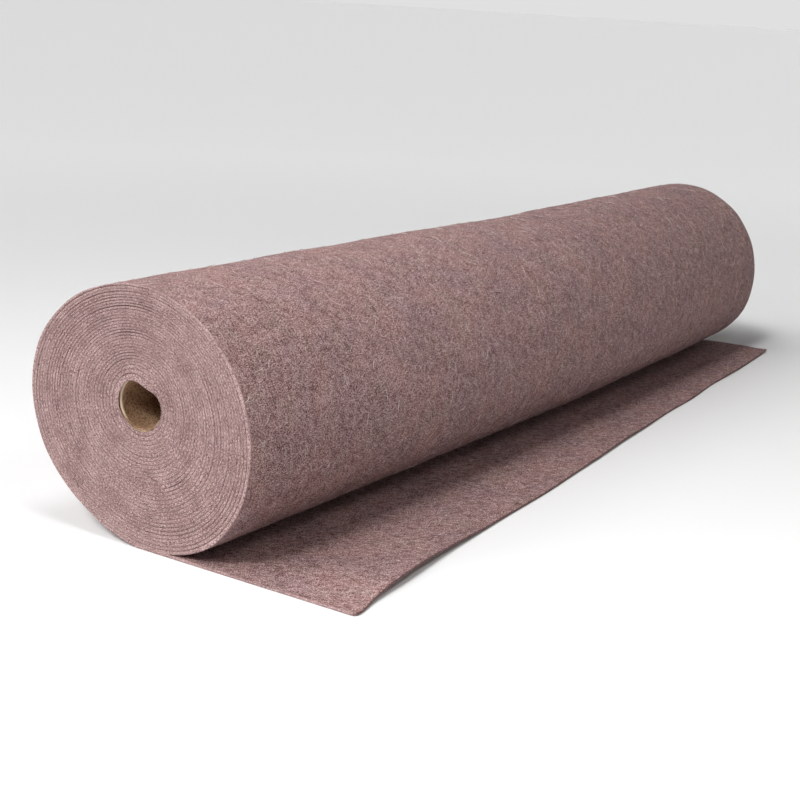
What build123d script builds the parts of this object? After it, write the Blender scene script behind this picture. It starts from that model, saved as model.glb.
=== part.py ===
from build123d import *
from math import sqrt
import os

# A 2 m wide roll of protection fleece on its cardboard core, lying on the floor with the
# free end of the web drawn out in front of it.
# Millimetres. +X runs along the roll, -Y is the side of the loose tail, +Z is up.
# The origin is the centre of the core's bore, halfway along the roll.

# Web
web_width = 2000.0
web_thickness = 4.8
tail_reach_left = 377.0
tail_reach_right = 251.0

# Wound roll: its radius where the outer turn starts, and how much its own weight
# takes off that radius upwards and adds to it sideways
roll_radius = 200.0
squash = 6.0
core_rise = 22.0

# Every second turn is set back from the ends of the roll by this much
turn_setback = 1.6

# Core tube
core_bore_radius = 38.1
core_wall = 3.4
core_inset = 6.0
core_clearance = 0.3

half_width = web_width / 2
fleece_bore_radius = core_bore_radius + core_wall + core_clearance
mean_roll_radius = roll_radius - web_thickness / 2
turns = round((mean_roll_radius - fleece_bore_radius) / web_thickness)
turn_pitch = (mean_roll_radius - fleece_bore_radius) / turns
corner = sqrt(0.5)


def oval_arcs(radius, squash, rise=0.0):
    """One turn seen from the end, as tangent arcs that start at the origin and go up the
    back, over the top and down the front. Broad arcs below and above and narrow ones at the
    sides make an oval that is lower and wider than its mean radius by the squash. Every
    radius is less by its share of a drop that ends the turn that much above its start."""
    broad = radius + (1 + 2 * corner) * squash
    narrow = radius - (1 + 2 * corner) * squash
    drop = rise / (corner + (1 - corner) * 7 / 8)
    joints = [-90, -45, 45, 135, 225, 270]
    radii = [
        side - drop * ((start + end) / 2 + 90) / 360
        for side, start, end in zip([broad, narrow, broad, narrow, broad], joints, joints[1:])
    ]
    centre = Vector(0, radii[0])
    arcs = []
    for i, arc_radius in enumerate(radii):
        if i > 0:
            centre += Vector(radii[i - 1] - arc_radius, 0).rotate(Axis.Z, joints[i])
        arcs.append(CenterArc(centre, arc_radius, joints[i], joints[i + 1] - joints[i]))
    return Curve() + arcs


outer_turn = oval_arcs(roll_radius, squash, web_thickness)
roll_middle_y = outer_turn.bounding_box().center().X
roll_middle_z = -core_rise
floor_z = roll_middle_z - outer_turn.bounding_box().center().Y


def web_section():
    """The roll and its tail, seen from the end."""
    reach = max(tail_reach_left, tail_reach_right)
    tail = Polyline(
        (0, web_thickness),
        (-reach, web_thickness),
        (-reach, 0),
        (0, 0),
    )
    return Plane.YZ * Pos(0, floor_z) * make_face(outer_turn + tail)


def tail_trim():
    """What is cut off the tail's front so that its edge runs from one reach to the other."""
    front = -max(tail_reach_left, tail_reach_right) - web_thickness
    outline = Polyline(
        (-half_width, front),
        (half_width, front),
        (half_width, -tail_reach_right),
        (-half_width, -tail_reach_left),
        close=True,
    )
    return extrude(Plane.XY.offset(floor_z) * make_face(outline), web_thickness, dir=(0, 0, 1))


def turn_face(count):
    """The oval round the first so many turns. It is a circle at the core and comes nearer to
    the outer turn's shape and middle with each turn, so the winding is looser below the
    core than above it."""
    share = count / turns
    radius = fleece_bore_radius + turn_pitch * count
    oval = make_face(oval_arcs(radius, squash * share))
    return Pos(roll_middle_y * share, roll_middle_z * share - radius + squash * share) * oval


def set_back_turns():
    """The ends of every second turn, as rings on the roll's end view."""
    rings = [turn_face(count) - turn_face(count - 1) for count in range(turns - 1, 0, -2)]
    return Sketch() + rings


def fleece_web():
    """The wound web and its tail, which are one piece of fleece."""
    body = extrude(web_section(), half_width, both=True)
    body -= tail_trim()
    body -= Rot(0, 90, 0) * Cylinder(fleece_bore_radius, web_width)
    rings = set_back_turns()
    for end_x in (-half_width, half_width - turn_setback):
        body -= extrude(Plane.YZ.offset(end_x) * rings, turn_setback)
    return body


def core_tube():
    """The cardboard tube, a little shorter than the web is wide."""
    length = web_width - 2 * core_inset
    tube = Cylinder(core_bore_radius + core_wall, length) - Cylinder(core_bore_radius, length)
    return Rot(0, 90, 0) * tube


os.makedirs("parts", exist_ok=True)
export_step(fleece_web(), "parts/fleece_web.step")
export_step(core_tube(), "parts/core_tube.step")
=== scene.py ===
import math
import bpy
import numpy as np
from mathutils import Matrix, Vector


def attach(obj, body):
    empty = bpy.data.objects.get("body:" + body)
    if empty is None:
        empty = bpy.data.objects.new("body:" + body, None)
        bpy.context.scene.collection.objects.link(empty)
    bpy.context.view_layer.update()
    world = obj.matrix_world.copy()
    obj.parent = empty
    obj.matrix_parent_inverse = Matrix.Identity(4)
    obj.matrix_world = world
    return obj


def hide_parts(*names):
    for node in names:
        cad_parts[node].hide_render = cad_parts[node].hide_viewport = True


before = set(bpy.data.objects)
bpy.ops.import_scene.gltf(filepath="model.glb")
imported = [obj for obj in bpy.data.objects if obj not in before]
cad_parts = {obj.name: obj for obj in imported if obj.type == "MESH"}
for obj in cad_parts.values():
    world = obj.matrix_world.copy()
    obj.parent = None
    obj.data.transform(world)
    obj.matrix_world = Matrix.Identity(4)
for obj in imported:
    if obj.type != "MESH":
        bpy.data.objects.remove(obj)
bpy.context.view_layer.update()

# Metres. X runs along the roll, -Y is the side of the loose tail, Z is up, and the origin is the
# middle of the core's bore.


def addMesh(name, points, faces, smooth=True):
    # An object at the origin, whose mesh holds the points where they are
    mesh = bpy.data.meshes.new(name)
    mesh.from_pydata(points.reshape(-1, 3).tolist(), [], faces)
    mesh.polygons.foreach_set("use_smooth", np.full(len(mesh.polygons), smooth))
    mesh.update()
    made = bpy.data.objects.new(name, mesh)
    bpy.context.scene.collection.objects.link(made)
    return made


def addUv(piece, across, along):
    # One pair for each corner of each face: metres round the web's section and metres along it
    layer = piece.data.uv_layers.new(name="web")
    layer.data.foreach_set("uv", np.stack([across, along], -1).ravel())


def addPointValue(piece, name, values):
    # One number for each point, which materials read by its name
    attribute = piece.data.attributes.new(name, "FLOAT", "POINT")
    attribute.data.foreach_set("value", np.ascontiguousarray(values, dtype=np.float32).ravel())


def ripple(seed, lengths, *coordinates, count=18):
    # Sum of cosines of random direction and phase, each coordinate measured in its own wave
    # length. Its spread is about 1.
    random = np.random.default_rng(seed)
    total = 0.0
    for _ in range(count):
        pull = random.normal(size=len(coordinates))
        phase = random.uniform(0, 2 * math.pi)
        waves = zip(pull, coordinates, lengths)
        total = total + np.cos(phase + sum(2 * math.pi * k * c / size for k, c, size in waves))
    return total * math.sqrt(2 / count)


def ramp(value, low, high):
    # 0 below low, 1 above high, and 3 times the square less 2 times the cube in between
    share = np.clip((value - low) / (high - low), 0, 1)
    return share * share * (3 - 2 * share)


class Signal:
    # A socket in a material. Sums and products of signals add Math nodes.

    def __init__(self, maker, socket):
        self.maker = maker
        self.socket = socket

    def math(self, operation, *others):
        inputs = dict(enumerate((self, *others)))
        return self.maker.node("Math", {"operation": operation}, inputs)

    def __add__(self, other):
        return self.math("ADD", other)

    def __mul__(self, other):
        return self.math("MULTIPLY", other)

    def __sub__(self, other):
        return self.math("SUBTRACT", other)

    def __rsub__(self, other):
        return self.maker.node("Math", {"operation": "SUBTRACT"}, {0: other, 1: self})

    def __pow__(self, other):
        return self.math("POWER", other)

    __radd__ = __add__
    __rmul__ = __mul__

    def between(self, low, high):
        # 0 below low, 1 above high, and smooth in between
        inputs = {"Value": self, "From Min": low, "From Max": high}
        return self.maker.node("MapRange", {"interpolation_type": "SMOOTHSTEP"}, inputs)


class MaterialMaker:
    # A new material, with one method that adds any node and short ones for the usual nodes

    def __init__(self, name):
        self.material = bpy.data.materials.new(name)
        self.material.use_nodes = True
        self.tree = self.material.node_tree
        self.tree.nodes.clear()

    def node(self, kind, settings=None, inputs=None, output=0):
        # Any node: its settings, such as a ramp's stops, and then its sockets' values or links
        made = self.tree.nodes.new("ShaderNode" + kind)
        for key, value in (settings or {}).items():
            if key == "stops":
                for _ in range(len(value) - 2):
                    made.color_ramp.elements.new(0.5)
                for element, (place, tone) in zip(made.color_ramp.elements, value):
                    element.position = place
                    element.color = tone
            else:
                setattr(made, key, value)
        for key, value in (inputs or {}).items():
            if isinstance(value, Signal):
                self.tree.links.new(value.socket, made.inputs[key])
            else:
                made.inputs[key].default_value = value
        return Signal(self, made.outputs[output])

    def part(self, place, axis):
        return self.node("SeparateXYZ", None, {0: place}, output="XYZ".index(axis))

    def value(self, name):
        return self.node("Attribute", {"attribute_name": name}, output=2)

    def objectPlace(self):
        return self.node("TexCoord", None, None, output=3)

    def noise(self, place, scale, detail=2.0, roughness=0.5, distortion=0.0):
        values = {"Vector": place, "Scale": scale, "Detail": detail}
        values.update({"Roughness": roughness, "Distortion": distortion})
        return self.node("TexNoise", None, values)

    def turned(self, place, degrees, stretch):
        # The place turned about Z and then squeezed across, so that a noise on it makes streaks
        turn = {"Vector": place, "Rotation": (0, 0, math.radians(degrees))}
        flat = self.node("Mapping", {"vector_type": "POINT"}, turn)
        return self.sized(flat, (1, stretch, 1))

    def sized(self, place, factors):
        return self.node("VectorMath", {"operation": "MULTIPLY"}, {0: place, 1: factors})

    def moved(self, place, shift):
        return self.node("VectorMath", {"operation": "ADD"}, {0: place, 1: shift})

    def mix(self, share, first, second):
        settings = {"data_type": "RGBA", "blend_type": "MIX", "clamp_factor": True}
        return self.node("Mix", settings, {0: share, 6: first, 7: second}, output=2)

    def finish(self, tone, roughness, height=None, bump=(1.0, 0.001), **constants):
        # The shader and its output. Bump is its strength and its height in metres.
        inputs = {"Base Color": tone, "Roughness": roughness}
        inputs.update({key.replace("_", " "): value for key, value in constants.items()})
        if height is not None:
            strength, distance = bump
            relief = {"Strength": strength, "Distance": distance, "Height": height}
            inputs["Normal"] = self.node("Bump", None, relief)
        shader = self.node("BsdfPrincipled", None, inputs)
        sink = self.tree.nodes.new("ShaderNodeOutputMaterial")
        self.tree.links.new(shader.socket, sink.inputs["Surface"])
        return self.material


def colour(red, green, blue):
    # Linear shares of red, green and blue, opaque
    return (red, green, blue, 1.0)


roll = {
    "halfWidth": 1.0,
    "floor": -0.214709,
    "thickness": 0.0048,
    "radius": 0.200,
    "boreRadius": 0.0420,
    "windings": 32.194,  # counted from the bottom of the outer turn to the core
    "ovalCos2": 0.0313,  # shares of the radius: wider than high
    "ovalSin2": 0.0415,  # leaning
    "ovalCos3": 0.0201,
    "ovalSin3": -0.0045,
    "waist": 0.0034,  # a little thicker halfway along than at the ends
    "bow": -0.0196,  # the middle lies this much further forward than the ends
    "tailReachLeft": 0.3775,
    "tailReachRight": 0.2512,
    "edgeRound": 0.0004,
    # How deep in the web each point of its edge lies, and the share of the rounding it has
    "edgeDepth": (0.07, 0.21, 0.5, 0.79, 0.93),
    "edgeInset": (0.42, 0.12, 0.0, 0.12, 0.42),
    "restGap": 0.00004,  # between turns that lie on each other
    "looseGap": 0.0010,
    "looseStretches": (
        # share of a winding, its spread, turn number, its spread, gap in millimetres
        (0.40, 0.10, 4.0, 4.0, 0.9),
        (0.46, 0.07, 16, 1.6, 0.9),
        (0.44, 0.06, 23.5, 1.8, 0.9),
        (0.40, 0.07, 29, 1.5, 1.0),
        (0.26, 0.07, 2, 1.6, 0.9),
        (0.89, 0.030, 16, 1.0, 1.0),
        (0.84, 0.06, 2.5, 2.0, 0.7),
        (0.98, 0.07, 4, 2.5, 0.7),
        (0.32, 0.07, 10, 3.0, 0.9),
        (0.42, 0.05, 11, 1.5, 1.0),
        (0.52, 0.05, 7, 2.0, 0.8),
        (0.70, 0.06, 27, 2.0, 0.7),
    ),
    "telescope": 0.0003,  # how unevenly the turns' edges end
    "relief": 0.0009,  # swells on the outer turn
    # The tail's cut end: share of its length, and how far its two faces draw together there
    "cutRows": ((0.0, 0.22), (0.0008, 0.08), (0.0028, 0.02), (0.0058, 0.0)),
    "cornerForward": 0.006,  # the near corner lies this much further forward
    "cornerRound": 0.006,
    "frontWander": 0.0018,
    "frontLift": 0.0016,
    "foldPlace": -0.80,  # where the front edge lifts off the floor, along X
    "foldSpan": 0.17,
    "foldReach": 0.05,
    "tailLift": 0.009,
    "tailWaves": 0.0007,
    "firstEdge": 0.20,  # the web's first edge on the core is pressed to this share of a winding
    "coreInset": 0.006,
    # The innermost winding droops over the end of the core: degrees round the bore from the
    # back, going over the top, and how far in, in millimetres
    "lipDroop": (
        (0, 4), (30, 4.7), (45, 5), (57, 6.2), (70, 8), (86, 9.8), (100, 11), (113, 12),
        (126, 11.2), (133, 9.8), (142, 8), (152, 6), (162, 4.4), (170, 3.4), (180, 2.4),
        (201, 1.2), (225, 1.4), (270, 3), (300, 4.4), (325, 4.2), (345, 3.7), (360, 4),
    ),
    "lipReach": (0.0022, 0.0058),  # all of it this near the web's end, none of it past that
    "lipFade": 0.8,  # windings over which it falls to a third
    "lipWindings": (27, 30),
    "lipOut": 0.003,  # it stands out where it droops, and is drawn in by this much elsewhere
    "lipIn": 0.0024,
    "droopBetween": (3, 11),  # millimetres of droop from drawn in to standing out
    "drawnWindings": 9,
    "rowsPerTurn": 88,
    "outerRows": 160,
    "tailRows": 30,
    "fineStations": 80,
}
edgePoints = len(roll["edgeDepth"])


def ovalRadius(angle):
    # The radius times one and shares of the cosine and sine of twice and thrice the angle
    return roll["radius"] * (
        1
        + roll["ovalCos2"] * np.cos(2 * angle)
        + roll["ovalSin2"] * np.sin(2 * angle)
        + roll["ovalCos3"] * np.cos(3 * angle)
        + roll["ovalSin3"] * np.sin(3 * angle)
    )


middleHeight = roll["floor"] + float(ovalRadius(-math.pi / 2))


def lipDroop(angle):
    # Millimetres that the innermost winding droops, in straight steps between listed angles
    degrees, inward = zip(*roll["lipDroop"])
    return np.interp(np.degrees(np.mod(angle, 2 * math.pi)), degrees, inward)


def lip(turn, angle, x):
    # How far the innermost windings droop in over the end of the core, at the near end only.
    # All of it on the innermost winding's inner face, and much less on each face further out.
    full, none = [distance - roll["halfWidth"] for distance in roll["lipReach"]]
    fade = np.exp(-np.maximum(roll["windings"] - turn - 1, 0) / roll["lipFade"])
    depth = fade * ramp(turn, *roll["lipWindings"])
    return (1 - ramp(x, full, none)) * depth * lipDroop(angle) * 0.001


def turnFace(turn, x):
    # The outer face of the web, that many windings in from the bottom of the outer turn.
    # The angle goes up the back, over the top and down the front. The radius and the middle
    # run evenly from the outer oval to the core's circle, and the last windings step over
    # the web's first edge.
    angle = 2 * math.pi * turn - math.pi / 2
    left = np.maximum(roll["windings"] - turn, 0)
    whole = np.floor(left)
    part = left - whole
    stepping = 1 - ramp(left, 1, 5)
    pressed = (1 - roll["firstEdge"]) * np.where(left < 1, part**3, 1 - ramp(left, 1, 1.15))
    left = whole + part * (1 - stepping) + part**3 * stepping - pressed
    outward = left / roll["windings"]
    sag = 1 - (x / roll["halfWidth"]) ** 2
    radius = ovalRadius(angle) * (1 + roll["waist"] * sag) * outward
    radius = radius + roll["boreRadius"] * (1 - outward)
    radius = radius - lip(turn, angle, x)
    y = roll["bow"] * sag * outward + radius * np.cos(angle)
    z = middleHeight * outward + radius * np.sin(angle)
    normal = np.stack([0 * angle, np.cos(angle), np.sin(angle)], -1)
    return np.stack([x + 0 * y, y, z], -1), normal


def looseness(turn):
    # The gap under a turn: nearly none, with stretches where a few turns in a row stand apart.
    # Each listed stretch is a bell over the share of a winding (0 at the bottom, then back, top
    # and front) and one over the turn's number.
    own = 0.55 + 0.45 * ripple(5, (0.4,), turn, count=40)
    gap = roll["looseGap"] * 0.25 * np.clip(ripple(6, (0.7,), turn, count=30) - 0.9, 0, 1.5)
    for around, spread, number, turns, size in roll["looseStretches"]:
        apart = (turn - around + 0.5) % 1 - 0.5
        bell = np.exp(-((apart / spread) ** 2) - ((turn - around - number) / turns) ** 2)
        gap = gap + size * 0.001 * bell * np.clip(own, 0.05, 1.4)
    return roll["restGap"] + gap


def endShift(turn, side):
    # How far the web's edge stands out or back at one end: uneven from turn to turn
    angle = 2 * math.pi * turn
    seed = 20 if side < 0 else 30
    slow = ripple(seed, (1.6, 1.6, 7.0), np.cos(angle), np.sin(angle), turn, count=12)
    quick = ripple(seed + 1, (0.6,), turn, count=30)
    shift = roll["telescope"] * (0.7 * slow + 0.6 * quick)
    if side > 0:
        return shift
    droop = ramp(lipDroop(angle - math.pi / 2), *roll["droopBetween"])
    drawn = roll["lipIn"] * (1 - droop) - roll["lipOut"] * droop
    last = roll["windings"]
    return shift + drawn * ramp(turn, last - roll["drawnWindings"], last - 1)


def sectionLoop(stations):
    # The web's section as a loop: along the outer face from -X to +X, round the +X edge,
    # back along the inner face and round the -X edge. Returns x, inset, depth and a running
    # length for each point.
    edgeDepth = np.array(roll["edgeDepth"])
    edgeInset = np.array(roll["edgeInset"]) * roll["edgeRound"]
    count = len(stations)
    inset = np.zeros(count)
    inset[[0, -1]] = roll["edgeRound"]
    edge = np.ones(edgePoints)
    x = np.concatenate([stations, edge, stations[::-1], -edge])
    insets = np.concatenate([inset, edgeInset, inset, edgeInset])
    depth = np.concatenate([np.zeros(count), edgeDepth, np.ones(count), edgeDepth[::-1]])
    wall = roll["thickness"]
    running = np.concatenate(
        [stations, 1 + edgeDepth * wall, 2 + wall - stations[::-1], 3 + wall + edgeDepth * wall]
    )
    return x * roll["halfWidth"], insets, depth, running


def webRows(turns, stations):
    # The wound web as rows of its section, one for each turn number: its outer face, with
    # swells on the outer turn, and its inner face, which is the next turn's outer face plus
    # the gap between them. Returns the points, the running length and the length along.
    x, inset, depth, running = sectionLoop(stations)
    turn = turns[:, None]
    shift = np.where(x < 0, endShift(turn, -1), endShift(turn, 1)) * (np.abs(x) > 0.999)
    softer = 1 + 2.5 * (1 - ramp(turn, 0.6, 1.3))
    place = x[None] - np.sign(x) * inset * softer + shift
    outer, normal = turnFace(turn, place)
    inner, innerNormal = turnFace(turn + 1, place)
    gap = looseness(turn + 0 * place)[..., None]
    inner = inner + gap * innerNormal
    calm = ramp(turn, 0.02, 0.1) * (1 - ramp(turn, 0.93, 1.0))
    around = 2 * math.pi * turn * roll["radius"]
    swell = ripple(7, (0.9, 0.5), place, around, count=24)
    swell = swell + 0.5 * ripple(8, (0.25, 0.2), place, around)
    outer = outer + (roll["relief"] * calm * swell)[..., None] * normal
    outer[..., 2] = np.maximum(outer[..., 2], roll["floor"])
    points = outer * (1 - depth[None, :, None]) + inner * depth[None, :, None]
    pitch = (roll["radius"] - roll["boreRadius"]) / roll["windings"]
    length = 2 * math.pi * (roll["radius"] * turn - pitch * turn**2 / 2)
    return points, np.broadcast_to(running, place.shape), length + 0 * place


def tailRows(stations):
    # The free end on the floor. Rows run from the cut end, whose edge is rounded, to the line
    # where the web leaves the floor. Floor side first, as it becomes the roll's outer face.
    x, inset, depth, running = sectionLoop(stations)
    start, drawn = np.array(roll["cutRows"]).T
    share = np.append(start, np.linspace(0.02, 1, roll["tailRows"], endpoint=False))[:, None]
    squeeze = np.append(drawn, np.zeros(roll["tailRows"]))[:, None]
    place = x[None] - np.sign(x) * inset * 3.5
    along = (place / roll["halfWidth"] + 1) / 2
    reach = roll["tailReachLeft"] + (roll["tailReachRight"] - roll["tailReachLeft"]) * along
    sag = 1 - (place / roll["halfWidth"]) ** 2
    wander = roll["frontWander"] * ripple(11, (0.5,), place, count=16) * ramp(place, -1.0, -0.8)
    wander = wander + roll["cornerForward"] * (1 - ramp(place, -1.0, -0.93))
    wander = wander - roll["cornerRound"] * np.clip((-0.989 - place) / 0.011, 0, 1) ** 2
    y = roll["bow"] * sag * share - (reach + wander) * (1 - share)
    shift = np.where(x < 0, endShift(share * 0, -1), endShift(share * 0, 1)) * (np.abs(x) > 0.999)
    nearCut = np.exp(-share * reach / roll["foldReach"])
    fold = np.exp(-(((place - roll["foldPlace"]) / roll["foldSpan"]) ** 2))
    lift = roll["tailLift"] * fold * nearCut
    lifted = np.clip(ripple(12, (0.6,), place, count=12), 0, 2)
    lift = lift + roll["frontLift"] * nearCut * lifted
    lift = lift * ramp(place, -1.0, -0.9)
    first, _ = turnFace(np.zeros((1, 1)), place)
    second, _ = turnFace(np.ones((1, 1)), place)
    wallAtRoll = second[..., 2] - first[..., 2] - looseness(np.zeros((1, 1)))
    wall = roll["thickness"] + (wallAtRoll - roll["thickness"]) * ramp(share, 0.6, 1)
    wavy = roll["tailWaves"] * ripple(13, (0.35, 0.2), place, y, count=24)
    wavy = wavy * (1 - ramp(share, 0.75, 1))
    top = wall + wavy * ramp(share, 0.0, 0.15)
    level = squeeze + depth[None] * (1 - 2 * squeeze)
    z = roll["floor"] + lift + level * top
    points = np.stack([place + shift + 0 * y, y, z], -1)
    return points, np.broadcast_to(running, y.shape), y


def gridFaces(first, rows, columns):
    # Faces between neighbours in rows of points, where each row closes on itself
    row, column = np.meshgrid(np.arange(rows - 1), np.arange(columns), indexing="ij")
    a = first + row * columns + column
    b = first + row * columns + (column + 1) % columns
    return np.stack([a, a + columns, b + columns, b], -1).reshape(-1, 4)


def runsOf(stations):
    # The loop's columns in its four runs: outer face, +X edge, inner face and -X edge
    count = len(stations)
    half = count + edgePoints
    return (
        np.arange(count),
        np.arange(count - 1, half + 1),
        np.arange(half, half + count),
        np.append(np.arange(half + count - 1, 2 * half), 0),
    )


def joinFaces(firstA, stationsA, firstB, stationsB):
    # Faces between a row with one set of stations and the next row with another, where one
    # set holds all of the other
    faces = []
    common = np.array([x for x in stationsA if np.isclose(stationsB, x).any()])
    for run, (columnsA, columnsB) in enumerate(zip(runsOf(stationsA), runsOf(stationsB))):
        if run % 2:
            steps = range(edgePoints + 1)
            pairs = [(columnsA[k : k + 2], columnsB[k : k + 2]) for k in steps]
        else:
            order = 1 if run == 0 else -1
            stopsA = [int(np.abs(stationsA[::order] - x).argmin()) for x in common[::order]]
            stopsB = [int(np.abs(stationsB[::order] - x).argmin()) for x in common[::order]]
            pairs = [
                (columnsA[a0 : a1 + 1], columnsB[b0 : b1 + 1])
                for a0, a1, b0, b1 in zip(stopsA, stopsA[1:], stopsB, stopsB[1:])
            ]
        faces += [[*(firstB + b), *(firstA + a)[::-1]] for a, b in pairs]
    return faces


def capFaces(first, stations, forward):
    # Closes the web's section at its cut end or at its start on the core
    outer, plusEdge, inner, minusEdge = runsOf(stations)
    count = len(stations)
    back = inner[::-1]
    faces = [[outer[k], back[k], back[k + 1], outer[k + 1]] for k in range(count - 1)]
    faces += [list(plusEdge[::-1]), list(minusEdge[::-1])]
    if forward:
        faces = [face[::-1] for face in faces]
    return [[first + corner for corner in face] for face in faces]


def makeFleece():
    # The web from its cut end to its start on the core. The tail and the outer turn have many
    # stations across, the turns inside have few, and the innermost have more at the near end.
    coarse = np.array([-1.0, -0.75, -0.25, 0.25, 0.75, 1.0])
    ends = np.array([-0.998, -0.994, -0.987, 0.994])
    evenly = np.linspace(-1, 1, roll["fineStations"])
    fine = np.unique(np.concatenate([evenly, coarse, ends]))
    nearLip = -1 + roll["coreInset"] * np.array([0.33, 0.57, 0.8, 1.0])
    lipStations = np.sort(np.concatenate([coarse, nearLip]))
    end = roll["windings"] - 1
    perTurn = roll["rowsPerTurn"]
    outerTurns = np.linspace(0, 1, roll["outerRows"] + 1)
    middleTurns = np.linspace(1, end - 2, int((end - 3) * perTurn))[1:]
    lipTurns = np.linspace(end - 2, end, 2 * perTurn)[1:]
    tail = tailRows(fine)
    outerPart = [np.concatenate(pair) for pair in zip(tail, webRows(outerTurns, fine))]
    zones = [(fine, outerPart), (coarse, webRows(middleTurns, coarse))]
    zones.append((lipStations, webRows(lipTurns, lipStations)))

    quads, others, first = [], [], 0
    for index, (stations, (points, _, _)) in enumerate(zones):
        rows, columns = points.shape[:2]
        quads.append(gridFaces(first, rows, columns))
        if index == 0:
            others += capFaces(first, stations, True)
        if index + 1 < len(zones):
            lastRow = first + (rows - 1) * columns
            others += joinFaces(lastRow, stations, first + rows * columns, zones[index + 1][0])
        else:
            others += capFaces(first + (rows - 1) * columns, stations, False)
        first += rows * columns
    points = np.concatenate([zone[1][0].reshape(-1, 3) for zone in zones])
    running = np.concatenate([zone[1][1].ravel() for zone in zones])
    length = np.concatenate([zone[1][2].ravel() for zone in zones])
    depth = np.concatenate([np.tile(sectionLoop(s)[2], len(z[0])) for s, z in zones])
    faces = np.concatenate(quads).tolist() + [[int(c) for c in face] for face in others]
    piece = addMesh("wound_fleece", points, faces)

    # The section's loop closes on itself, so the last faces' corners at its start get the
    # loop's full length
    corners = np.empty(len(piece.data.loops), dtype=np.int64)
    piece.data.loops.foreach_get("vertex_index", corners)
    across = running[corners]
    starts = np.empty(len(piece.data.polygons), dtype=np.int64)
    sizes = np.empty(len(piece.data.polygons), dtype=np.int64)
    piece.data.polygons.foreach_get("loop_start", starts)
    piece.data.polygons.foreach_get("loop_total", sizes)
    highest = np.repeat(np.maximum.reduceat(across, starts), sizes)
    wrap = (highest > 2.9 + roll["thickness"]) & (across < 0)
    across = np.where(wrap, 3 + 2 * roll["thickness"], across)
    addUv(piece, across, length[corners])
    addPointValue(piece, "cutEdge", depth % 1 > 0)
    addPointValue(piece, "depth", depth)
    outerGrid = outerPart[0]
    # Painted shade on the tail's front cut edge: 1 on its first two rows, which the felt darkens
    addPointValue(piece, "frontEdge", np.arange(len(points)) < 2 * outerGrid.shape[1])
    return piece, outerGrid, zones[1][1][0]


fleece, outerGrid, turnsGrid = makeFleece()
print("fleece web", len(fleece.data.polygons), "faces")

fibres = {
    "nodes": 5,
    "sides": 3,
    # where: count, shortest, longest, thinnest, thickest, lift, spread of direction off the web
    "surface": (5400, 0.008, 0.030, 0.00012, 0.00045, 0.0012, 1.2),
    "tail": (1400, 0.005, 0.015, 0.00012, 0.00036, 0.0012, 1.2),
    "nearEnd": (1600, 0.004, 0.014, 0.00010, 0.00030, 0.0009, 0.3),
    "farEnd": (600, 0.004, 0.014, 0.00010, 0.00030, 0.0009, 0.3),
}


def onGrid(grid, row, column):
    # The point between four neighbours of a grid of points, each weighed by its nearness
    row = np.clip(row, 0, grid.shape[0] - 1.001)
    column = np.clip(column, 0, grid.shape[1] - 1.001)
    r, c = row.astype(int), column.astype(int)
    u, v = (row - r)[..., None], (column - c)[..., None]
    near = grid[r, c] * (1 - v) + grid[r, c + 1] * v
    far = grid[r + 1, c] * (1 - v) + grid[r + 1, c + 1] * v
    return near * (1 - u) + far * u


def inside(places, end):
    # Each fibre moved along so that it lies between 0 and the end
    short = np.maximum(-places.min(1, keepdims=True), 0)
    over = np.maximum(places.max(1, keepdims=True) - end, 0)
    return places + short - over


def scatter(seed, grid, settings, margins=(0.0, 1.0)):
    # Fibres as short arcs on a grid of the web's surface, each lifted off it in the middle or
    # at one end. Returns the nodes, the two directions across them, the radius and the tone.
    count, shortest, longest, thin, thick, lift, spread = settings
    random = np.random.default_rng(seed)
    down = np.linalg.norm(np.diff(grid, axis=0), axis=-1).mean(1)
    down = np.append(0, np.cumsum(down))  # metres from the first row to each row
    across = np.linalg.norm(np.diff(grid, axis=1), axis=-1).mean(0)
    across = np.append(0, np.cumsum(across))
    middleDown = random.uniform(margins[0], margins[1], (count, 1)) * down[-1]
    middleAcross = random.uniform(0, 1, (count, 1)) * across[-1]
    reach = random.uniform(shortest, longest, (count, 1))
    heading = random.normal(0, spread, (count, 1)) + math.pi / 2
    bend = random.normal(0, 0.5, (count, 1))
    share = np.linspace(-0.5, 0.5, fibres["nodes"])[None]
    turned = heading + bend * share
    row, column = [
        np.interp(inside(middle + reach * share * part, places[-1]), places, np.arange(len(places)))
        for middle, part, places in (
            (middleDown, np.sin(turned), down),
            (middleAcross, np.cos(turned), across),
        )
    ]
    nodes = onGrid(grid, row, column)
    tangent = np.gradient(nodes, axis=1)
    tangent = tangent / np.maximum(np.linalg.norm(tangent, axis=-1, keepdims=True), 1e-9)
    normal = np.cross(
        onGrid(grid, row + 0.3, column) - onGrid(grid, row - 0.3, column),
        onGrid(grid, row, column + 0.3) - onGrid(grid, row, column - 0.3),
    )
    normal = normal / np.maximum(np.linalg.norm(normal, axis=-1, keepdims=True), 1e-12)
    radius = thin + (thick - thin) * random.uniform(0, 1, count) ** 2
    pointed = np.ones(fibres["nodes"])
    pointed[[0, -1]] = 0
    radius = radius[:, None] * pointed
    high = lift * random.uniform(0, 1, count)[:, None] ** 2
    rising = random.uniform(0, 1, count)[:, None] < 0.4
    height = high * np.where(rising, (share + 0.5) ** 2 * 2, 1 - (2 * share) ** 2) + 0.00008
    nodes = nodes + normal * height[..., None]
    return nodes, normal, np.cross(tangent, normal), radius, random.uniform(0, 1, count)


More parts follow.
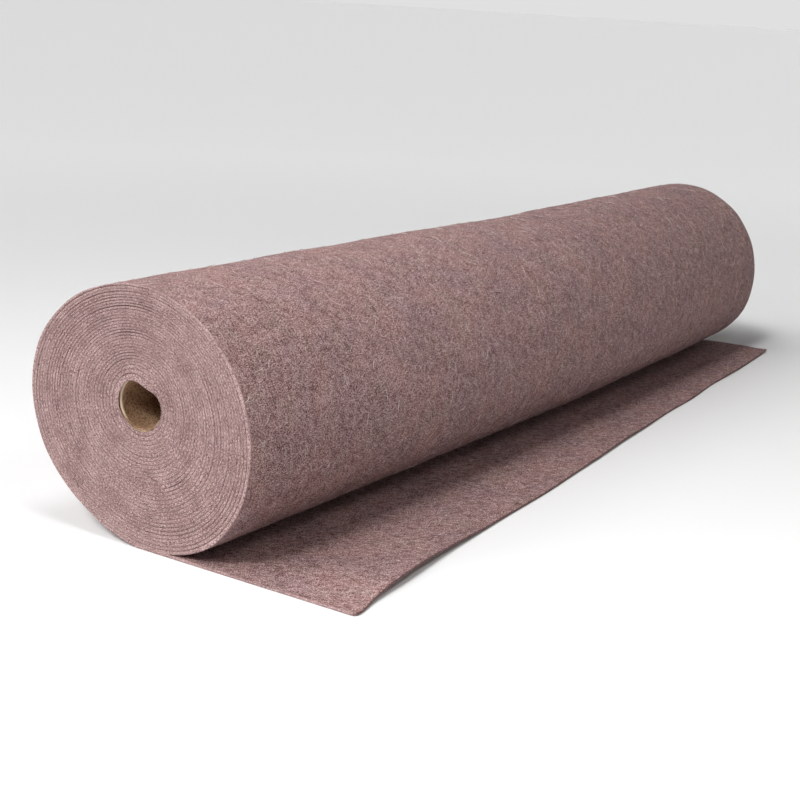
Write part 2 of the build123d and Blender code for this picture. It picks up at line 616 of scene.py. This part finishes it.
def makeFibres():
    # Each fibre is a tube of a few sides that is pointed at both ends: node + radius x (cosine
    # x normal + sine x sideways)
    tailRowCount = roll["tailRows"] + len(roll["cutRows"])
    half = outerGrid.shape[1] // 2
    rollSurface = outerGrid[tailRowCount:, : half - edgePoints]
    tailTop = outerGrid[: tailRowCount + 8, half : 2 * half - edgePoints]
    middle = turnsGrid.shape[1] // 2
    nearEnd = turnsGrid[:, -edgePoints:]
    farEnd = turnsGrid[:, middle - edgePoints : middle]
    groups = [
        scatter(61, rollSurface, fibres["surface"], (0.07, 0.95)),
        scatter(62, tailTop, fibres["tail"], (0.02, 0.98)),
        scatter(63, nearEnd, fibres["nearEnd"]),
        scatter(64, farEnd, fibres["farEnd"]),
    ]
    nodes, normal, side, radius, tone = [np.concatenate(parts) for parts in zip(*groups)]
    sides = fibres["sides"]
    angle = (2 * math.pi * np.arange(sides) / sides)[:, None]
    ring = normal[:, 1:-1, None] * np.cos(angle) + side[:, 1:-1, None] * np.sin(angle)
    ring = nodes[:, 1:-1, None] + radius[:, 1:-1, None, None] * ring
    points = np.concatenate([nodes[:, :1], ring.reshape(len(nodes), -1, 3), nodes[:, -1:]], 1)
    tip = points.shape[1] - 1
    lastRing = tip - sides
    pattern = []
    for k in range(sides):
        after = (k + 1) % sides
        pattern.append([0, 1 + after, 1 + k])
        for a in range(1, lastRing, sides):
            b = a + sides
            pattern.append([a + k, a + after, b + after, b + k])
        pattern.append([lastRing + k, lastRing + after, tip])
    starts = np.arange(len(nodes)) * (tip + 1)
    faces = [(np.array(face)[None] + starts[:, None]).tolist() for face in pattern]
    piece = addMesh("loose_fibres", points, [corners for group in faces for corners in group])
    addPointValue(piece, "tone", np.repeat(tone, tip + 1))
    return piece


fibrePiece = makeFibres()
print("loose fibres", len(fibrePiece.data.polygons), "faces")

core = {
    "halfLength": roll["halfWidth"] - roll["coreInset"],
    "boreRadius": 0.0381,
    "wall": 0.0034,
    "edgeRound": 0.0004,
    "segments": 160,
    "stations": (0.2, 0.6, 0.9, 0.97, 0.99),  # to both sides of the middle
    "plies": 4,
    "plyGroove": 0.00012,
    "fray": 0.00012,
    "frayedFrom": 0.993,
}


def makeCore():
    # A section carried round X: out over the near end's plies, along the outside, over the far
    # end and back along the bore
    bore, wall = core["boreRadius"], core["wall"]
    across = np.linspace(0, 1, core["plies"] * 4 + 1)
    groove = core["plyGroove"] * (0.5 + 0.5 * np.cos(2 * math.pi * across * core["plies"]))
    crown = core["edgeRound"] * (np.abs(2 * across - 1) ** 6)
    endX = core["halfLength"] - groove - crown
    radius = bore + across * wall
    stations = np.array(core["stations"])
    alongX = np.append(-stations[::-1], stations)
    level = np.ones(len(alongX))
    sectionX = np.concatenate([-endX, alongX, endX[::-1], alongX[::-1]])
    sectionR = np.concatenate([radius, (bore + wall) * level, radius[::-1], bore * level])
    turn = np.linspace(0, 2 * math.pi, core["segments"], endpoint=False)[:, None]
    uneven = ripple(41, (1.3, 1.3, 0.5), np.cos(turn), np.sin(turn), sectionX[None], count=16)
    atEnd = np.abs(sectionX) > core["frayedFrom"]
    x = sectionX[None] + atEnd * core["fray"] * uneven
    points = np.stack([x, sectionR * np.cos(turn), sectionR * np.sin(turn)], -1)
    rows, columns = points.shape[:2]
    row, column = np.meshgrid(np.arange(rows), np.arange(columns), indexing="ij")
    a = row * columns + column
    b = row * columns + (column + 1) % columns
    c = ((row + 1) % rows) * columns + (column + 1) % columns
    d = ((row + 1) % rows) * columns + column
    faces = np.stack([a, d, c, b], -1).reshape(-1, 4)
    piece = addMesh("core_board", points, faces.tolist())
    rim = np.append(np.ones(len(across)), 0 * level)
    addPointValue(piece, "cutRim", np.tile(rim, 2 * rows))
    return piece


coreTube = makeCore()
print("core tube", len(coreTube.data.polygons), "faces")

felt = {
    "mauve": colour(0.229, 0.143, 0.144),
    "redBrown": colour(0.249, 0.1455, 0.134),
    "greenGrey": colour(0.222, 0.148, 0.136),
    "cutTone": colour(0.274, 0.182, 0.176),
    "fibreTone": (0.190, 0.150, 0.147),  # what a fibre adds to or takes from the tone
    "darkest": -0.75,  # bounds of how much of it
    "lightest": 1.8,
    # How much of it each pattern adds, from the finest to the broadest
    "grain": 12.5,
    "tufts": 2.0,
    "clumps": 1.4,
    "tailFlecks": 3.4,
    "patches": 0.5,
    # painted shade on the tail's front cut edge
    "paintedEdgeShade": 0.45,
    "fleckAngle": -58,
    "streakAngles": (8, 35, 61, 93, 119, 147, 172),
    "brushedAngles": (20, 74, 104, 152),
    "bump": 0.0009,
    "roughness": 0.95,
    "sheen": colour(0.95, 0.84, 0.82),
}


def feltStreaks(make, place, directions, length, stretch, low, high, offset):
    # The strongest of several noises, each squeezed across its own direction in degrees, as
    # the share of light fibres and the share of dark ones
    bright, dull = None, None
    for index, degrees in enumerate(directions):
        shift = (index * 3.7 + offset, index * 1.9, index)
        path = make.turned(make.moved(place, shift), degrees, stretch)
        fibre = make.noise(path, 1 / length, 1, 0.5, 0.3)
        above = fibre.between(low, high)
        below = (1 - fibre).between(low, high + 0.02)
        bright = above if bright is None else bright.math("MAXIMUM", above)
        dull = below if dull is None else dull.math("MAXIMUM", below)
    return bright, dull


def feltMaterial():
    # Light and dark fibres as streaks in several directions over a grain and tufts. On the cut
    # edges everything is drawn out along the web, as its layers show there.
    make = MaterialMaker("felted recycled fibre")
    web = make.node("UVMap", {"uv_map": "web"})
    cut, front, depth = [make.value(name) for name in ("cutEdge", "frontEdge", "depth")]
    place = make.mix(cut, web, make.sized(web, (3.0, 0.5, 1)))
    along = make.part(web, "Y")
    inTail = 1 - along.between(-0.03, 0.0)
    patches = make.noise(web, 10, 3, 0.6)
    broad = make.noise(make.objectPlace(), 30, 2, 0.55)
    hues = make.noise(make.moved(web, (7.3, 2.1, 4.0)), 19, 3, 0.6)
    clumps = make.noise(make.moved(place, (1.7, 5.9, 9.0)), 75, 2, 0.65, 0.3)
    flecks = make.noise(make.turned(web, felt["fleckAngle"], 2.8), 62, 3, 0.65, 0.3)
    tufts = make.noise(make.moved(place, (3.1, 8.2, 1.0)), 290, 1, 0.6, 0.2)
    grain = make.noise(make.moved(place, (6.1, 4.2, 3.0)), 560, 3, 0.75)
    bright, dull = feltStreaks(make, place, felt["streakAngles"], 0.018, 11, 0.62, 0.72, 0)
    brushed, faint = feltStreaks(make, place, felt["brushedAngles"], 0.034, 9, 0.56, 0.70, 40)
    tone = make.mix(patches.between(0.35, 0.65) * 0.85, felt["mauve"], felt["redBrown"])
    tone = make.mix(hues.between(0.46, 0.66) * 0.7, tone, felt["greenGrey"])
    tone = make.mix(cut * 0.7, tone, felt["cutTone"])
    # Painted shade: dark lines between turns, in patches, and fewer of them in the outermost
    # metres, which get a painted highlight
    parted = make.noise(make.moved(web, (4.4, 1.3, 6.0)), 30, 2, 0.6) + (broad - 0.5) * 0.5
    outermost = 1 - along.between(1.3, 3.6)
    between = (depth - 0.5).math("ABSOLUTE").between(0.33, 0.48) * parted.between(0.47, 0.66)
    between = between * (1 - outermost * 0.7)
    # Cut edges: random broad tone, a painted highlight on the outermost metres and painted shade in
    # the lines between turns
    onEdge = (broad - 0.5) * 1.6 + outermost * 0.22 - between * 1.2
    light = (tufts - 0.5) * (felt["tufts"] - cut * 0.8) + (clumps - 0.5) * felt["clumps"]
    light = light + (flecks - 0.5) * inTail * felt["tailFlecks"]
    light = light + bright * 0.8 - dull * 0.45 + brushed * 0.33 - faint * 0.3
    light = light * (1 - cut * 0.5) + (grain - 0.5) * (felt["grain"] + cut * 1.5)
    # Painted shade on the tail's front cut edge, through the frontEdge mask
    light = light + (patches - 0.5) * felt["patches"] + cut * onEdge - front * felt["paintedEdgeShade"]
    light = light.math("MAXIMUM", felt["darkest"]).math("MINIMUM", felt["lightest"])
    fibre = make.node("VectorMath", {"operation": "SCALE"}, {0: felt["fibreTone"], 3: light})
    tone = make.moved(tone, fibre)
    height = clumps * 0.9 + tufts * 0.7 + grain * 0.5 + bright * 0.25 - dull * 0.2
    height = height * (1 - cut * 0.4)
    return make.finish(
        tone,
        felt["roughness"],
        height,
        (0.8, felt["bump"]),
        Sheen_Weight=0.03,
        Sheen_Roughness=0.5,
        Sheen_Tint=felt["sheen"],
        Specular_IOR_Level=0.05,
    )


board = {
    "kraft": colour(0.300, 0.172, 0.096),
    "kraftDark": colour(0.105, 0.056, 0.030),
    "kraftLight": colour(0.430, 0.275, 0.165),
    "rim": colour(0.880, 0.690, 0.500),
    "rimRadii": (0.0396, 0.0404),  # the rim is bare board inside and pale outside
    "plyWidth": 0.105,
    "seamWidth": 0.006,
}


def boardMaterial():
    # Speckled board with the spiral seam of its outer ply: the place along plus the share of a
    # turn, its fraction near a half
    make = MaterialMaker("spiral wound kraft board")
    place = make.objectPlace()
    rim = make.value("cutRim")
    speckle = make.noise(place, 360, 3, 0.7)
    pulp = make.noise(make.sized(place, (0.3, 1, 1)), 190, 3, 0.6)
    cloudy = make.noise(place, 22, 2, 0.5)
    x, y, z = [make.part(place, axis) for axis in "XYZ"]
    angle = z.math("ARCTAN2", y) * (1 / (2 * math.pi))
    spiral = (x * (1 / board["plyWidth"]) + angle).math("FRACT")
    seam = 1 - (spiral - 0.5).math("ABSOLUTE").between(0.0, board["seamWidth"])
    tone = make.mix(cloudy.between(0.35, 0.65), board["kraft"], board["kraftLight"])
    tone = make.mix((1 - speckle).between(0.48, 0.60) * 0.9, tone, board["kraftDark"])
    tone = make.mix(speckle.between(0.52, 0.7) * 0.5, tone, board["kraftLight"])
    tone = make.mix(pulp.between(0.55, 0.8) * 0.35, tone, board["kraftLight"])
    tone = make.mix(seam * 0.6, tone, board["kraftDark"])
    inner, outer = board["rimRadii"]
    pale = (y**2 + z**2).between(inner**2, outer**2)
    pale = pale.math("MAXIMUM", z.between(-0.032, -0.018))
    tone = make.mix(rim * pale * 0.9, tone, board["rim"])
    height = speckle * 0.4 + pulp * 0.4 - seam * 1.0
    return make.finish(tone, 0.78, height, (0.6, 0.0003), Specular_IOR_Level=0.3)


thread = {
    # share of the fibres and their tone, from the darkest to the lightest
    "stops": (
        (0.0, colour(0.045, 0.032, 0.036)),
        (0.20, colour(0.100, 0.070, 0.072)),
        (0.32, colour(0.330, 0.220, 0.205)),
        (0.65, colour(0.450, 0.335, 0.312)),
        (1.0, colour(0.690, 0.600, 0.555)),
    ),
    "roughness": 0.8,
}


def threadMaterial():
    # Each fibre has one tone, which its own number picks
    make = MaterialMaker("loose fibres")
    tone = make.node("ValToRGB", {"stops": thread["stops"]}, {0: make.value("tone")})
    return make.finish(tone, thread["roughness"], Specular_IOR_Level=0.2)


fleece.data.materials.append(feltMaterial())
fibrePiece.data.materials.append(threadMaterial())
coreTube.data.materials.append(boardMaterial())
print("materials made")

for piece, node, slotName in (
    (fleece, "fleece_web", "fleece"),
    (coreTube, "core_tube", "core_board"),
):
    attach(piece, "root")
    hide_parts(node)
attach(fibrePiece, "root")

studio = {
    "floorSide": 400.0,
    "floorTone": colour(0.80, 0.80, 0.80),
    "floorFarTone": colour(0.92, 0.92, 0.92),
    "floorFade": (1.5, 5.0),  # metres from the middle of the roll
    "horizon": 0.745,  # strengths of the sky's light
    "zenith": 0.05,
    "skyFade": (0.03, 0.16),  # sines of the height between them
    "suns": {
        # name: degrees round Z from +X, degrees up, strength, degrees that the lamp spans
        "back_low": (135, 20, 1.38, 35),
        "back_high": (135, 50, 1.08, 35),
        "end_high": (180, 50, 0.97, 12),
        "far_low": (0, 20, 0.44, 35),
        "front_low": (270, 20, 0.31, 35),
    },
    "areas": {
        # name: place, size, power, aimed at
        "end_above": ((-3.0, 0.0, 2.0), 1.0, 29, (-0.8, 0.0, 0.0)),
        "above_near": ((-1.0, 0.0, 2.0), 1.0, 14, (-0.8, 0.0, 0.0)),
        "near_front": ((-1.2, -1.4, 1.6), 0.8, 10, (-0.9, -0.2, -0.1)),
    },
}


def makeFloor():
    # A square just below the part, a little lighter far away
    side = studio["floorSide"]
    corners = np.array([[-side, -side], [side, -side], [side, side], [-side, side]])
    points = np.column_stack([corners, np.full(4, roll["floor"] - 0.0001)])
    floor = addMesh("studio_floor", points, [[0, 1, 2, 3]], smooth=False)
    make = MaterialMaker("pale floor")
    distance = make.node("VectorMath", {"operation": "LENGTH"}, {0: make.objectPlace()}, output=1)
    far = distance.between(*studio["floorFade"])
    tone = make.mix(far, studio["floorTone"], studio["floorFarTone"])
    floor.data.materials.append(make.finish(tone, 0.9, Specular_IOR_Level=0.1))


def makeWorld():
    # White at the horizon, fading to a dim grey overhead, and plain where the camera sees it
    world = bpy.data.worlds.new("studio")
    world.use_nodes = True
    nodes, links = world.node_tree.nodes, world.node_tree.links
    direction = nodes.new("ShaderNodeTexCoord").outputs["Generated"]
    height = nodes.new("ShaderNodeSeparateXYZ")
    strength = nodes.new("ShaderNodeMapRange")
    strength.interpolation_type = "SMOOTHSTEP"
    limits = (*studio["skyFade"], studio["horizon"], studio["zenith"])
    for key, value in zip(("From Min", "From Max", "To Min", "To Max"), limits):
        strength.inputs[key].default_value = value
    seen = nodes.new("ShaderNodeLightPath").outputs["Is Camera Ray"]
    shown = nodes.new("ShaderNodeMix")
    shown.inputs["B"].default_value = studio["horizon"]
    background = nodes["Background"]
    background.inputs["Color"].default_value = colour(1.0, 1.0, 1.0)
    links.new(direction, height.inputs[0])
    links.new(height.outputs["Z"], strength.inputs["Value"])
    links.new(seen, shown.inputs["Factor"])
    links.new(strength.outputs[0], shown.inputs["A"])
    links.new(shown.outputs["Result"], background.inputs["Strength"])
    bpy.context.scene.world = world


def addLamp(name, kind, place, aim, settings):
    # A lamp that shines along the aim and doesn't show itself
    light = bpy.data.lights.new(name, kind)
    for key, value in settings.items():
        setattr(light, key, value)
    lamp = bpy.data.objects.new(name, light)
    bpy.context.scene.collection.objects.link(lamp)
    turned = Vector(aim).to_track_quat("-Z", "Y").to_matrix().to_4x4()
    lamp.matrix_world = Matrix.Translation(place) @ turned
    lamp.visible_camera = False


def makeLights():
    # Suns shine from their place in the sky to the origin, areas from their place to a point
    for name, (around, up, strength, span) in studio["suns"].items():
        around, up = math.radians(around), math.radians(up)
        aim = (-math.cos(around) * math.cos(up), -math.sin(around) * math.cos(up), -math.sin(up))
        settings = {"energy": strength, "angle": math.radians(span)}
        addLamp(name, "SUN", (0, 0, 0), aim, settings)
    for name, (place, size, power, target) in studio["areas"].items():
        settings = {"shape": "DISK", "size": size, "energy": power}
        addLamp(name, "AREA", place, np.array(target) - np.array(place), settings)


shot = {
    "place": (-2.4995, -1.3543, 0.5636),
    "yaw": 1.0185475,  # radians from +Y toward +X
    "pitch": 0.2627038,  # down
    "tilt": 0.0595791,
    "focalPixels": 1471.61,
    "framePixels": 800,
    "sensor": 36.0,  # millimetres
}


def makeCamera():
    # Looks ahead along its yaw and pitch, with right and up turned about that by its tilt
    yaw, pitch, tilt = shot["yaw"], shot["pitch"], shot["tilt"]
    level = math.cos(pitch)
    ahead = np.array([math.sin(yaw) * level, math.cos(yaw) * level, -math.sin(pitch)])
    right = np.array([math.cos(yaw), -math.sin(yaw), 0.0])
    up = np.cross(right, ahead)
    rightTilted = math.cos(tilt) * right + math.sin(tilt) * up
    upTilted = -math.sin(tilt) * right + math.cos(tilt) * up
    lens = bpy.data.cameras.new("photograph")
    lens.sensor_width = shot["sensor"]
    lens.lens = shot["sensor"] * shot["focalPixels"] / shot["framePixels"]
    camera = bpy.data.objects.new("photograph", lens)
    bpy.context.scene.collection.objects.link(camera)
    axes = Matrix(np.column_stack([rightTilted, upTilted, -ahead]).tolist()).to_4x4()
    camera.matrix_world = Matrix.Translation(shot["place"]) @ axes
    bpy.context.scene.camera = camera


makeFloor()
makeWorld()
makeLights()
makeCamera()
bpy.context.scene.view_settings.view_transform = "Standard"
print("studio ready")
